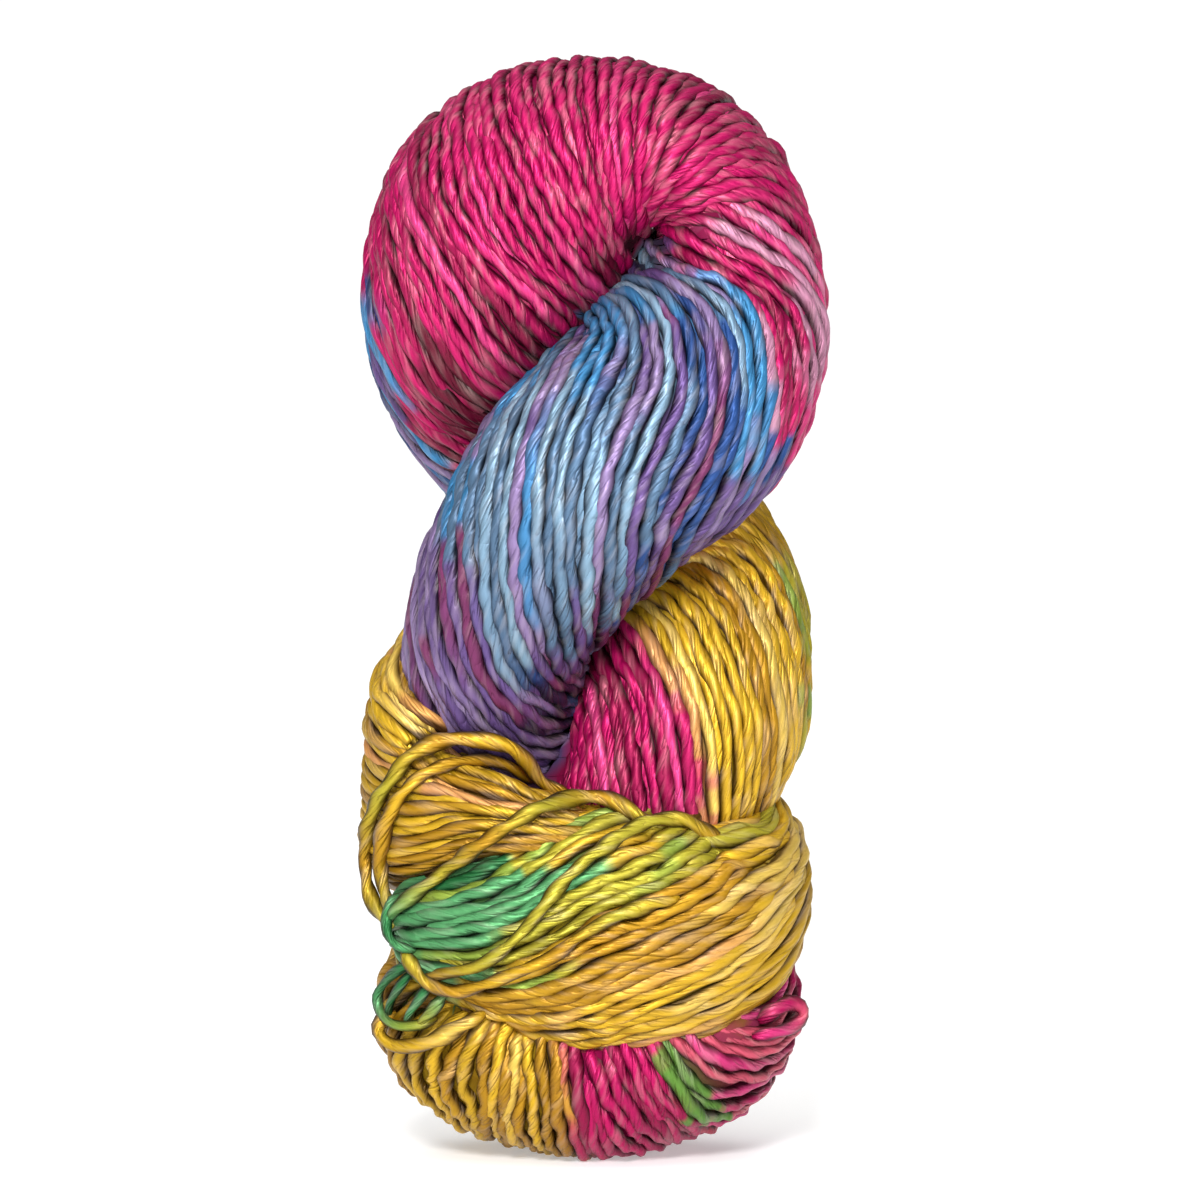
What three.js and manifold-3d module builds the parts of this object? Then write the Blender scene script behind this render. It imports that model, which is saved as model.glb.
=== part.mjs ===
// A twisted skein of thick silk yarn, standing on its folded end. Millimetres, +Z up, the camera side is -Y.
// The hank is one solid of its wound form: a long twisted bundle that folds over at the top and plies
// round itself, an end loop that wraps the lower part, and the folded end that it stands on.

import * as THREE from 'three';
import { mergeVertices } from 'three/addons/utils/BufferGeometryUtils.js';
import Module from 'manifold-3d';

const wasm = await Module();
wasm.setup();

const skeinSilk = { color: 0xb8436f, roughness: 0.5, metalness: 0 };
const ringStep = 4;
const ringSides = 28;
const leastAdvance = 0.3;
const samplesPerRow = 40;
const towardsCamera = new THREE.Vector3(0, -1, 0);
const upwards = new THREE.Vector3(0, 0, 1);

// The rows are measured from the twist's own axis, which stands here over the middle of the footprint.
const twistAxis = new THREE.Vector3(0.35, 1, 0);

// Each row is one section across a bundle: its middle, its half width beside the face and its half
// width through the face. The face is the side that looks along the bundle's facing direction.
const sectionColumns = ['x', 'y', 'z', 'beside', 'through'];

// From its lower front end the bundle climbs behind, over the top and down the front again.
const pliedRows = [
  [-8, -3, 32, 17, 17],
  [3, -7, 54, 21, 19],
  [12.5, -7, 76, 22.5, 21],
  [20.5, -1, 99, 26, 25],
  [19, 15, 122, 25, 25],
  [0, 21, 145, 25, 25],
  [-17, 14, 166, 26.5, 25],
  [-24, 2, 184, 27, 26],
  [-17.5, -2, 203.5, 30.2, 26],
  [-3, -2, 216.5, 25.5, 25.5],
  [15, -2, 219, 18.5, 24.5],
  [27, -2, 207, 18, 24],
  [27, -5, 186, 24, 24.5],
  [18, -16, 167, 28, 26],
  [-1.5, -21, 149, 26.5, 27],
  [-15, -18, 130, 23, 24],
  [-22, -9, 111, 20.5, 21],
  [-21, 6, 90, 20, 20],
  [-9, 14, 68, 20, 20],
  [2, 12, 46, 20, 19],
  [6, 6, 30, 17, 17],
];

// The end loop starts at its pinched left end, crosses the front and climbs round the back.
const loopRows = [
  [-44.5, -14, 49.5, 2.5, 4],
  [-41, -17, 50.5, 6, 10.5],
  [-31, -22, 51, 10, 16],
  [-17, -24, 51, 14, 22],
  [0, -24, 52, 16.5, 27.5],
  [14, -22, 52.5, 17, 27],
  [26, -17, 55.5, 16.5, 25],
  [32, -11, 62, 15, 18.5],
  [33, -3, 70, 12, 10.5],
  [29, 9, 75, 10, 9.5],
  [24, 19, 81, 11, 15],
  [10, 26, 88, 13, 20],
  [-12, 24, 96, 13, 22],
  [-32, 12, 95, 11, 23],
  [-40.2, -3, 83.5, 10.5, 25],
  [-37, -13, 76.5, 12, 20],
  [-24, -21, 76, 12, 11],
  [-10, -23, 74.5, 11, 7],
  [4, -20, 73, 9, 5],
];

// The folded end hangs down from the middle of the loop as a wide U.
const foldRows = [
  [-10, 0, 62, 14, 18],
  [-18, -1, 49, 14, 20],
  [-27, -2, 35.5, 20.5, 24],
  [-23.5, -3, 28, 22.5, 26],
  [-13, -3, 23.5, 22.5, 28],
  [0, -3, 21.5, 23, 29],
  [11.5, -3, 24, 22.5, 28],
  [21.5, -3, 28.5, 22, 26],
  [25, -2, 37, 19.5, 24],
  [18, -1, 49, 13.5, 20],
  [10, 0, 62, 14, 18],
];

// The inner turns fill the middle of the twist from the fold to the top of the arch.
const heartRows = [
  [0, -2, 24, 19, 20],
  [0, -1, 45, 25, 22],
  [0, 0, 68, 24.5, 20.5],
  [-2, 2, 100, 13, 13],
  [-1, 0, 150, 11, 11],
  [4, -2, 190, 9, 11],
  [9, -2, 204, 6, 12],
];

function rowAt(rows, place) {
  const last = rows.length - 1;
  const start = Math.min(Math.floor(place), last - 1);
  const part = place - start;
  const section = {};
  const pick = (index, column) => {
    if (index < 0) {
      return 2 * rows[0][column] - rows[1][column];
    }
    if (index > last) {
      return 2 * rows[last][column] - rows[last - 1][column];
    }
    return rows[index][column];
  };
  sectionColumns.forEach((name, column) => {
    const before = pick(start - 1, column);
    const from = pick(start, column);
    const to = pick(start + 1, column);
    const after = pick(start + 2, column);
    section[name] = from + 0.5 * part * (to - before
      + part * (2 * before - 5 * from + 4 * to - after
      + part * (3 * (from - to) + after - before)));
  });
  section.middle = new THREE.Vector3(section.x, section.y, section.z).add(twistAxis);
  return section;
}

// Places along the rows that lie an even step apart along the bundle's middle line.
function evenPlaces(rows) {
  const last = rows.length - 1;
  const count = last * samplesPerRow;
  const run = [0];
  let middle = rowAt(rows, 0).middle;
  for (let i = 1; i <= count; i += 1) {
    const next = rowAt(rows, (i / count) * last).middle;
    run.push(run[i - 1] + next.distanceTo(middle));
    middle = next;
  }
  const length = run[count];
  const rings = Math.round(length / ringStep);
  const places = [];
  let i = 1;
  for (let ring = 0; ring <= rings; ring += 1) {
    const wanted = (length * ring) / rings;
    while (i < count && run[i] < wanted) {
      i += 1;
    }
    const part = (wanted - run[i - 1]) / (run[i] - run[i - 1]);
    places.push(((i - 1 + Math.min(Math.max(part, 0), 1)) / count) * last);
  }
  return places;
}

// One ring of points round a section. On the inside of a tight bend a point never runs backwards.
function ringAround(rows, place, facing, before) {
  const last = rows.length - 1;
  const nudge = 0.001;
  const section = rowAt(rows, place);
  const along = rowAt(rows, Math.min(place + nudge, last)).middle
    .sub(rowAt(rows, Math.max(place - nudge, 0)).middle).normalize();
  const face = facing.clone().addScaledVector(along, -facing.dot(along)).normalize();
  const beside = new THREE.Vector3().crossVectors(along, face);
  const ring = [];
  for (let side = 0; side < ringSides; side += 1) {
    const angle = (2 * Math.PI * side) / ringSides;
    const point = section.middle.clone()
      .addScaledVector(face, section.through * Math.cos(angle))
      .addScaledVector(beside, section.beside * Math.sin(angle));
    if (before) {
      const advance = point.clone().sub(before[side]).dot(along);
      if (advance < leastAdvance) {
        point.addScaledVector(along, leastAdvance - advance);
      }
    }
    ring.push(point);
  }
  return { ring, middle: section.middle };
}

function bundleGeometry(rows, facing) {
  const points = [];
  const faces = [];
  let before = null;
  const rings = evenPlaces(rows).map((place) => {
    const made = ringAround(rows, place, facing, before);
    before = made.ring;
    return made;
  });
  rings.forEach(({ ring }) => ring.forEach((point) => points.push(point.x, point.y, point.z)));
  const startMiddle = points.length / 3;
  const endMiddle = startMiddle + 1;
  points.push(...rings[0].middle.toArray(), ...rings[rings.length - 1].middle.toArray());
  for (let side = 0; side < ringSides; side += 1) {
    const next = (side + 1) % ringSides;
    for (let ring = 0; ring < rings.length - 1; ring += 1) {
      const here = ring * ringSides;
      const there = here + ringSides;
      faces.push(here + side, here + next, there + next);
      faces.push(here + side, there + next, there + side);
    }
    const end = (rings.length - 1) * ringSides;
    faces.push(startMiddle, next, side);
    faces.push(endMiddle, end + side, end + next);
  }
  const geometry = new THREE.BufferGeometry();
  geometry.setAttribute('position', new THREE.Float32BufferAttribute(points, 3));
  geometry.setIndex(faces);
  return geometry;
}

function solidFrom(geometry) {
  const bare = geometry.clone();
  bare.deleteAttribute('normal');
  bare.deleteAttribute('uv');
  const merged = mergeVertices(bare);
  return new wasm.Manifold(new wasm.Mesh({
    numProp: 3,
    vertProperties: new Float32Array(merged.attributes.position.array),
    triVerts: new Uint32Array(merged.index.array),
  }));
}

function geometryFrom(solid) {
  const mesh = solid.getMesh();
  const geometry = new THREE.BufferGeometry();
  geometry.setAttribute('position', new THREE.Float32BufferAttribute(mesh.vertProperties, 3));
  geometry.setIndex(new THREE.Uint32BufferAttribute(mesh.triVerts, 1));
  geometry.computeVertexNormals();
  return geometry;
}

// The fold presses flat where the skein stands, so everything below the surface is cut away.
function belowSurface() {
  const size = 200;
  const block = new THREE.BoxGeometry(size, size, size);
  block.translate(0, 0, -size / 2);
  return solidFrom(block);
}

function makeSkein() {
  const wound = solidFrom(bundleGeometry(pliedRows, towardsCamera))
    .add(solidFrom(bundleGeometry(loopRows, upwards)))
    .add(solidFrom(bundleGeometry(foldRows, towardsCamera)))
    .add(solidFrom(bundleGeometry(heartRows, towardsCamera)))
    .subtract(belowSurface());
  const skein = new THREE.Mesh(geometryFrom(wound), new THREE.MeshStandardMaterial(skeinSilk));
  skein.name = 'skein';
  return skein;
}

const part = new THREE.Group();
part.add(makeSkein());

export default part;
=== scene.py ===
import math
import bpy
import numpy as np
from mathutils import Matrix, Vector
from mathutils.bvhtree import BVHTree
from mathutils.kdtree import KDTree


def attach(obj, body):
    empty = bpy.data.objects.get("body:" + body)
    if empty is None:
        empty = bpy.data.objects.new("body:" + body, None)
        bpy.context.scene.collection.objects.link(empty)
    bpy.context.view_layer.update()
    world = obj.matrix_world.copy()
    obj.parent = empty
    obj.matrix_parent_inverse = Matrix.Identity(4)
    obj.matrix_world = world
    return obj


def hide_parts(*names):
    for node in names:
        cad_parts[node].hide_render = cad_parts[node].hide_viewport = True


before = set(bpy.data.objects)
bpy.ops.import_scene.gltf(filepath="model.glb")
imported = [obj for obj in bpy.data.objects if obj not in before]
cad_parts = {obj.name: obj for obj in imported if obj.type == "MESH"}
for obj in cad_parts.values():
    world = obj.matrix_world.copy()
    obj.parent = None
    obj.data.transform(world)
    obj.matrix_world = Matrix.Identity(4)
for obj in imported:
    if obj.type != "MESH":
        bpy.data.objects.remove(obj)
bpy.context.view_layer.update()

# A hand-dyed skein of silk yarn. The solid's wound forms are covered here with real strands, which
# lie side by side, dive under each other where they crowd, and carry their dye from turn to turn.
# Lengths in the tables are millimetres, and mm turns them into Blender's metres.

mm = 0.001
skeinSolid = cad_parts["skein"]
twistAxis = np.array([0.35, 1.0, 0.0])   # the tables are measured from the twist's own axis

photo = {
    'pixels': 1200,        # its width and its height
    'pixel': 0.2186,       # millimetres of the skein in one of them
    'elevation': 6.0,      # degrees that the camera looks down
}
tilt = math.radians(photo['elevation'])
sight = Vector((0, math.cos(tilt), -math.sin(tilt)))   # the way that the camera looks

yarn = {
    'width': 3.15,
    'sides': 12,
    'step': 1.25,          # length of one ring of faces along a strand
    'flatten': 0.93,       # the thickness out of the bundle, against the width
    'narrow': 0.97,        # the width beside the neighbours
    # thick and thin places: height, length, how far the length sways and how slowly
    'swells': [(0.078, 4.1, 2, 15), (0.065, 1.9, 3, 9.3)],
    'stretches': (0.13, 23, 2.2, 61),
    'ribbon': 0.17,        # the yarn is a soft ribbon rolled on itself
    'rollSway': (1.1, 11), # radians that the rolling sways, and how slowly
    'ridges': 0.04,
    'ridgeCount': 3,
    'ridgeStart': 1,       # radians
    'ridgePitch': 18.0,    # one turn of the silk fibres round the strand
    'ends': (0.45, 0.75, 0.93),   # how the last rings of a strand narrow
    'restHeight': 0.42,    # widths from the surface to the middle of the lowest strand
    'leastHeight': 0.12,   # millimetres from the surface to the lowest point of any
}


# Curves through the tables

def rowsAt(rows, places):
    last = len(rows) - 1
    start = np.clip(np.floor(places).astype(int), 0, last - 1)
    part = (places - start)[:, None]

    def pick(index):
        picked = rows[np.clip(index, 0, last)].copy()
        picked[index < 0] = 2 * rows[0] - rows[1]
        picked[index > last] = 2 * rows[last] - rows[last - 1]
        return picked

    before, here, there, after = pick(start - 1), pick(start), pick(start + 1), pick(start + 2)
    return here + 0.5 * part * (there - before + part * (
        2 * before - 5 * here + 4 * there - after + part * (3 * (here - there) + after - before)))


def unit(vectors):
    return vectors / np.maximum(np.linalg.norm(vectors, axis=-1, keepdims=True), 1e-9)


def smoothStep(value):
    value = np.clip(value, 0, 1)
    return value * value * (3 - 2 * value)


def smoothed(values, rings):
    reach = np.arange(-3 * rings, 3 * rings + 1)
    weights = np.exp(-0.5 * (reach / rings) ** 2)
    weights /= weights.sum()
    padded = np.pad(values, ((3 * rings, 3 * rings), (0, 0)), mode='edge')
    return sum(weight * padded[i:i + len(values)] for i, weight in enumerate(weights))


def wander(random, run, strands, waves):
    # a slow wave for each strand: waves holds pairs of wavelength and height
    total = np.zeros((len(run), strands))
    for wavelength, height in waves:
        stretch = random.uniform(0.75, 1.3, strands)
        start = random.uniform(0, 2 * math.pi, strands)
        total += height * np.sin(2 * math.pi * run[:, None] * stretch / wavelength + start)
    return total


def crowdingRanks(count):
    # neighbours get ranks far apart, so that any share of the strands is an even choice of them
    bits = 6
    ranks = [int(format(i, f'0{bits}b')[::-1], 2) / 2 ** bits for i in range(2 ** bits)]
    return np.array([ranks[int(i * 2 ** bits / count)] for i in range(count)])


# Strands over one bundle of the twist

winding = {
    'samplesPerRow': 60,
    'softness': 0.3,       # the border between a strand on top and one that dives
    'diveRings': 6,        # how gradually it dives, in rings
    'spreadRings': 8,      # and how gradually its neighbours take its room
    'underShare': 0.05,    # the room that it keeps below them
    'leastRoom': 0.08,     # widths, where the surface shrinks to nothing
    'sinkBy': 0.95,        # widths that it dives
    'leastOnTop': 0.06,    # deeper than this a strand is left out
    'hideBelow': 5.2,      # and so is one that lies this far inside the solid
    'leastRings': 6,
    'hop': 0.02,           # rows ahead and behind, to see where the surface runs backwards
    'leastAdvance': -0.4,  # how far backwards it may run, against the middle line
}

solidTree = BVHTree.FromObject(skeinSolid, bpy.context.evaluated_depsgraph_get())


def depthInSolid(point):
    spot, normal, _, distance = solidTree.find_nearest(Vector(point) * mm)
    inside = (Vector(point) * mm - spot).dot(normal) < 0
    return distance / mm if inside else -distance / mm


def bundleFrames(rows, places, facing):
    last = len(rows) - 1
    nudge = 0.001
    sections = rowsAt(rows, places)
    ahead = rowsAt(rows, np.minimum(places + nudge, last))[:, :3]
    behind = rowsAt(rows, np.maximum(places - nudge, 0))[:, :3]
    along = unit(ahead - behind)
    face = unit(facing - (along @ facing)[:, None] * along)
    return sections, along, face, np.cross(along, face)


def roundSection(sections, face, beside, angles):
    cos, sin = np.cos(angles)[..., None], np.sin(angles)[..., None]
    through, half = sections[:, None, 4:5], sections[:, None, 3:4]
    points = sections[:, None, :3] + through * cos * face[:, None] + half * sin * beside[:, None]
    outwards = unit(cos / through * face[:, None] + sin / half * beside[:, None])
    sideways = -through * sin * face[:, None] + half * cos * beside[:, None]
    return points, outwards, sideways


def squareTo(heading, vectors):
    return vectors - np.sum(vectors * heading, axis=-1, keepdims=True) * heading


def ringPlaces(rows):
    # the rings lie an even step apart along a strand, so they are close together where it turns fast
    last = len(rows) - 1
    fine = np.linspace(0, last, last * winding['samplesPerRow'] + 1)
    sections = rowsAt(rows, fine)
    hop = np.linalg.norm(np.diff(sections[:, :3], axis=0), axis=1)
    lay = np.radians(sections[:, 5])
    rate = np.tan(lay) / (0.5 * (sections[:, 3] + sections[:, 4]))
    run = np.concatenate([[0], np.cumsum(hop / np.cos(0.5 * (lay[1:] + lay[:-1])))])
    turn = np.concatenate([[0], np.cumsum(hop * 0.5 * (rate[1:] + rate[:-1]))])
    marks = np.arange(0, run[-1], yarn['step'])
    places = np.interp(marks, run, fine)
    return marks, places, np.interp(places, fine, turn)


def surfaceAdvance(rows, places, facing, along, angles):
    # inside a tight bend the surface would run backwards, and no strand shows there
    points = []
    middles = []
    for hop in (-winding['hop'], winding['hop']):
        near = np.clip(places + hop, 0, len(rows) - 1)
        sections, _, face, beside = bundleFrames(rows, near, facing)
        points.append(roundSection(sections, face, beside, angles)[0])
        middles.append(sections[:, :3])
    middleHop = np.linalg.norm(middles[1] - middles[0], axis=1)
    return np.sum((points[1] - points[0]) * along[:, None], axis=-1) / middleHop[:, None]


def spreadStrands(room, even, crowding):
    # where the strands crowd some of them dive, and the others take their room
    border = (room * crowding - crowdingRanks(len(even))[None, :]) / winding['softness']
    onTop = smoothed(smoothStep(border + 0.5), winding['diveRings'])
    share = winding['underShare'] + (1 - winding['underShare']) * onTop
    share /= np.maximum(room, winding['leastRoom'])
    share *= 2 * math.pi / share.sum(axis=1, keepdims=True)
    spread = np.cumsum(share, axis=1) - share / 2
    spread += (even[None, :] - spread).mean(axis=1, keepdims=True)
    return onTop, smoothed(spread, winding['spreadRings'])


def windStrands(bundle):
    rows = np.array(bundle['rows'], float)
    facing = np.array(bundle['facing'], float)
    strands = bundle['strands']
    random = np.random.default_rng(bundle['seed'])
    marks, places, turns = ringPlaces(rows)
    sections, along, face, beside = bundleFrames(rows, places, facing)
    even = 2 * math.pi * np.arange(strands) / strands
    angles = turns[:, None] + even[None, :]
    points, _, sideways = roundSection(sections, face, beside, angles)
    advance = surfaceAdvance(rows, places, facing, along, angles)

    # how much room a strand has beside its neighbour, in widths
    gap = squareTo(unit(np.gradient(points, axis=0)), sideways * 2 * math.pi / strands)
    room = np.linalg.norm(gap, axis=-1) / yarn['width']
    onTop, spread = spreadStrands(room, even, bundle['crowding'])
    angles = turns[:, None] + spread
    points, outwards, _ = roundSection(sections, face, beside, angles)

    heading = unit(np.gradient(points, axis=0))
    outwards = unit(squareTo(heading, outwards))
    side = np.cross(heading, outwards)
    sideStep = wander(random, marks, strands, bundle['sideWander'])
    rise = wander(random, marks, strands, bundle['riseWander'])
    sink = (1 - onTop) * winding['sinkBy'] * yarn['width']
    centres = points + side * sideStep[..., None]
    centres += outwards * (rise - sink - yarn['width'] / 2 * yarn['flatten'])[..., None]
    centres += twistAxis
    centres[..., 2] = np.maximum(centres[..., 2], yarn['width'] * yarn['restHeight'])

    kept = (onTop > winding['leastOnTop']) & (advance > winding['leastAdvance'])
    for i, k in np.argwhere(kept):
        kept[i, k] = depthInSolid(centres[i, k]) <= winding['hideBelow']
    heading = unit(np.gradient(centres, axis=0))
    outwards = unit(squareTo(heading, outwards))
    return {
        'centres': centres, 'outwards': outwards, 'side': np.cross(heading, outwards),
        'marks': marks, 'kept': kept, 'places': places, 'angles': angles, 'random': random,
    }


def runsOf(wound, strand):
    # stretches of one strand that show, each long enough to be a strand
    shows = np.concatenate([[False], wound['kept'][:, strand], [False]])
    edges = np.flatnonzero(shows[1:] != shows[:-1])
    return [(a, b) for a, b in zip(edges[::2], edges[1::2]) if b - a >= winding['leastRings']]


# Dye

dyesAndShades = {
    'magenta': (198, 8, 98),
    'deepMagenta': (166, 4, 78),
    # a magenta in shade, painted along creases
    'wineInShade': (108, 2, 42),
    'hotPink': (226, 62, 132),
    'salmon': (212, 84, 108),
    'palePink': (206, 142, 172),
    'lilac': (144, 122, 168),
    'purple': (104, 78, 136),
    'plum': (124, 50, 98),
    # a dark violet of painted shade, for a hollow
    'inkInShade': (48, 34, 66),
    'skyBlue': (62, 136, 188),
    'deepBlue': (34, 72, 134),
    'lightBlue': (128, 160, 184),
    'greyBlue': (88, 118, 148),
    'yellow': (224, 178, 36),
    'gold': (190, 140, 20),
    'brown': (116, 84, 16),
    'straw': (238, 200, 92),
    'olive': (186, 174, 48),
    'lime': (148, 172, 64),
    'teal': (92, 168, 106),
    'green': (44, 122, 66),
    'fern': (98, 150, 56),
    'peach': (226, 160, 92),
}

# each mix is a row of dyes with the share of the strands that took it, and kin mixes keep their order; the
# mixes named for shade hold painted shade instead of dye
mixes = {
    'dome': [('deepMagenta', 2), ('magenta', 6), ('hotPink', 0.5)],
    'blush': [('magenta', 2.4), ('hotPink', 2), ('palePink', 2.6)],
    'pale': [('magenta', 0.3), ('hotPink', 1.2), ('palePink', 4)],
    'salmon': [('magenta', 1), ('hotPink', 1), ('salmon', 3)],
    'edge': [('purple', 0.6), ('lilac', 1.2), ('deepBlue', 0.8), ('skyBlue', 2),
             ('greyBlue', 1.2), ('lightBlue', 1)],
    'sky': [('purple', 0.5), ('lilac', 0.8), ('deepBlue', 1.2), ('skyBlue', 3),
            ('greyBlue', 0.7), ('lightBlue', 0.8)],
    'light': [('purple', 0.4), ('lilac', 0.9), ('skyBlue', 0.7), ('greyBlue', 1.6), ('lightBlue', 3.6)],
    'grey': [('plum', 0.1), ('purple', 0.8), ('lilac', 0.6), ('deepBlue', 0.5),
             ('greyBlue', 2.5), ('lightBlue', 1.3)],
    'greyDeep': [('purple', 1.2), ('lilac', 0.8), ('deepBlue', 1), ('greyBlue', 2.5), ('lightBlue', 0.5)],
    'violet': [('plum', 0.3), ('purple', 1.8), ('lilac', 1.8), ('deepBlue', 0.7),
               ('greyBlue', 1.2), ('lightBlue', 0.5)],
    'purples': [('plum', 0.7), ('purple', 2.6), ('lilac', 0.9), ('deepBlue', 1.3), ('greyBlue', 0.4)],
    'plumGrey': [('plum', 1.5), ('purple', 1.5), ('lilac', 0.7), ('greyBlue', 1.8), ('lightBlue', 0.6)],
    'plum': [('plum', 1.8), ('purple', 2.6), ('lilac', 0.4), ('deepBlue', 0.8)],
    # painted shade along the creases, not a dye
    'paintedCreaseShade': [('wineInShade', 3), ('deepMagenta', 3)],
    # painted shade in a hollow, not a dye
    'paintedHollowShade': [('inkInShade', 3), ('plum', 1), ('inkInShade', 2)],
    'peach': [('gold', 1), ('peach', 3), ('salmon', 1)],
    'straw': [('gold', 0.5), ('yellow', 1), ('straw', 3)],
    'gold': [('gold', 2), ('yellow', 4), ('straw', 1)],
    'leafGold': [('brown', 0.5), ('gold', 3), ('yellow', 2), ('olive', 1)],
    # painted shade in a hollow of the end loop, not a dye
    'shadeGold': [('brown', 2), ('gold', 2)],
    'goldPeach': [('gold', 2.4), ('yellow', 2.4), ('straw', 0.8), ('peach', 1.5)],
    'oliveGold': [('yellow', 1.7), ('olive', 2.6), ('lime', 0.5)],
    'oliveGreen': [('olive', 2), ('lime', 2)],
    'limeEdge': [('olive', 1.5), ('lime', 3)],
    'tealLime': [('teal', 2), ('lime', 2), ('olive', 1)],
    'teal': [('green', 1), ('teal', 4), ('lime', 0.4)],
    'fern': [('fern', 3), ('lime', 1)],
}

dyeing = {
    'strength': 0.72,            # the studio's light adds the rest
    'border': 0.05,              # between two dyes of a mix
    'fade': 2.2,                 # how fast a spot of dye fades at its reach
    'rows': 1.3,                 # how many of the bundle's rows it reaches
    'crispness': 1.8,            # how sharp the borders of the spots are
    'strengths': (0.86, 1.1),    # from strand to strand
    # how dye sways along a strand: height, length, and where each strand starts
    'readSway': (2, 7, 50),
    'mixSway': (0.05, 31, 40),
}


def linearColour(bytes3):
    share = np.array(bytes3) / 255
    linear = np.where(share <= 0.04045, share / 12.92, ((share + 0.055) / 1.055) ** 2.4)
    return dyeing['strength'] * linear


def mixColour(mix, pick):
    # pick runs from 0 to 1 over the mix, with soft borders between its dyes
    rows = mixes[mix]
    shares = np.array([share for _, share in rows], float)
    ends = np.cumsum(shares) / shares.sum()
    colour = np.broadcast_to(linearColour(dyesAndShades[rows[0][0]]), (len(pick), 3)).copy()
    for (name, _), start in zip(rows[1:], ends[:-1]):
        over = smoothStep((pick - start) / dyeing['border'] + 0.5)[:, None]
        colour += over * (linearColour(dyesAndShades[name]) - colour)
    return colour


def dyeAndShadeColours(points, places, spots, pick):
    # every spot of dye or of painted shade reaches as far as its row says, and the nearest one wins with a
    # soft border
    table = np.array([row[:5] for row in spots], float)
    away = np.sum((points[:, None, :] - table[None, :, 1:4] - twistAxis) ** 2, axis=-1)
    away *= dyeing['fade'] / table[None, :, 4] ** 2
    rowsAway = (places[:, None] - table[None, :, 0]) / dyeing['rows']
    tiny = 1e-30   # so that a point far from every spot still takes the nearest one's dye
    score = np.exp(-away - rowsAway ** 2) ** dyeing['crispness'] + tiny
    score /= score.sum(axis=1, keepdims=True)
    names = [row[5] for row in spots]
    colour = np.zeros((len(points), 3))
    for name in dict.fromkeys(names):
        weight = score[:, [i for i, other in enumerate(names) if other == name]].sum(axis=1)
        colour += weight[:, None] * mixColour(name, pick)
    return colour


# Tubes

# painted shade: the dye darkens down each strand's sides, where its neighbours shade it
strandShade = {
    'least': 0.15,               # what is left of the dye low between two strands
    'start': 0.42,               # cosine of the angle from a strand's top, where the shade is deepest
    'fade': 0.52,
    'tint': (1.0, 1.1, 1.08),    # the shade takes a little more green and blue away
}


def swayingWave(far, height, length, sway, swayLength):
    # a wave whose length keeps changing, so that no two places look alike
    return height * np.sin(far / length + sway * np.sin(far / swayLength))


def strandRings(centres, outwards, side, marks, random, scale):
    sides = yarn['sides']
    angles = 2 * math.pi * (np.arange(sides) + 0.5) / sides + math.pi
    far = marks + random.uniform(0, 100)
    half = yarn['width'] / 2 * scale * (1 + sum(swayingWave(far, *swell) for swell in yarn['swells']))
    half *= 1 + swayingWave(far, *yarn['stretches'])
    half[:3] *= yarn['ends']
    half[-3:] *= yarn['ends'][::-1]
    turned = angles[None, :] - 2 * math.pi * far[:, None] / yarn['ridgePitch']
    sway, swayLength = yarn['rollSway']
    rolled = 2 * (turned + sway * np.sin(far / swayLength)[:, None])
    ridges = yarn['ridges'] * np.cos(yarn['ridgeCount'] * turned + yarn['ridgeStart'])
    reach = half[:, None] * (1 + yarn['ribbon'] * np.cos(rolled) + ridges)
    out = reach * np.cos(angles) * yarn['flatten']
    beside = reach * np.sin(angles) * yarn['narrow']
    rings = centres[:, None] + out[..., None] * outwards[:, None] + beside[..., None] * side[:, None]
    rings[..., 2] = np.maximum(rings[..., 2], yarn['leastHeight'])
    # painted shade by the angle round the strand, darkest low on its sides
    lit = smoothStep((np.cos(angles) - strandShade['start']) / strandShade['fade'])
    fibre = np.stack([
        np.broadcast_to(far[:, None], turned.shape),
        np.cos(turned) * yarn['width'] / 2,
        np.sin(turned) * yarn['width'] / 2], axis=-1)
    return rings, fibre, strandShade['least'] + (1 - strandShade['least']) * lit


def strandPiece(centres, outwards, side, marks, colour, random, scale=1.0):
    rings, fibre, shade = strandRings(centres, outwards, side, marks, random, scale)
    # 'colour' is the dye with the painted shade of the strand's sides, 'plain' the dye alone
    return {'rings': rings, 'fibre': fibre, 'marks': marks, 'centres': centres, 'plain': colour,
            'colour': colour[:, None] * shade[None, :, None] ** strandShade['tint']}


# the strands are unrolled side by side in rows of one square, for the baked picture
unrolled = {
    'rowHeight': 1.08 * math.pi * yarn['width'],
    'spare': 1.03,
    'grow': 1.02,          # again and again, until all rows fit
    'gap': 0.2,            # between two strands of a row, in row heights
    'inset': 0.04,         # above and below each strand
    'capRadius': 0.1,      # of a strand's end
}


def packStrips(strips, squareSide):
    # lays the unrolled strands in rows, and gives each ring its row, its place in it and its length
    row, place, laid = 0, 0.0, []
    for marks in strips:
        spots = []
        for length in np.diff(marks):
            if place + length > squareSide:
                row, place = row + 1, 0.0
            spots.append((row, place, length))
            place += length
        place += unrolled['rowHeight'] * unrolled['gap']
        laid.append(np.array(spots))
    return laid, row + 1


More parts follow.
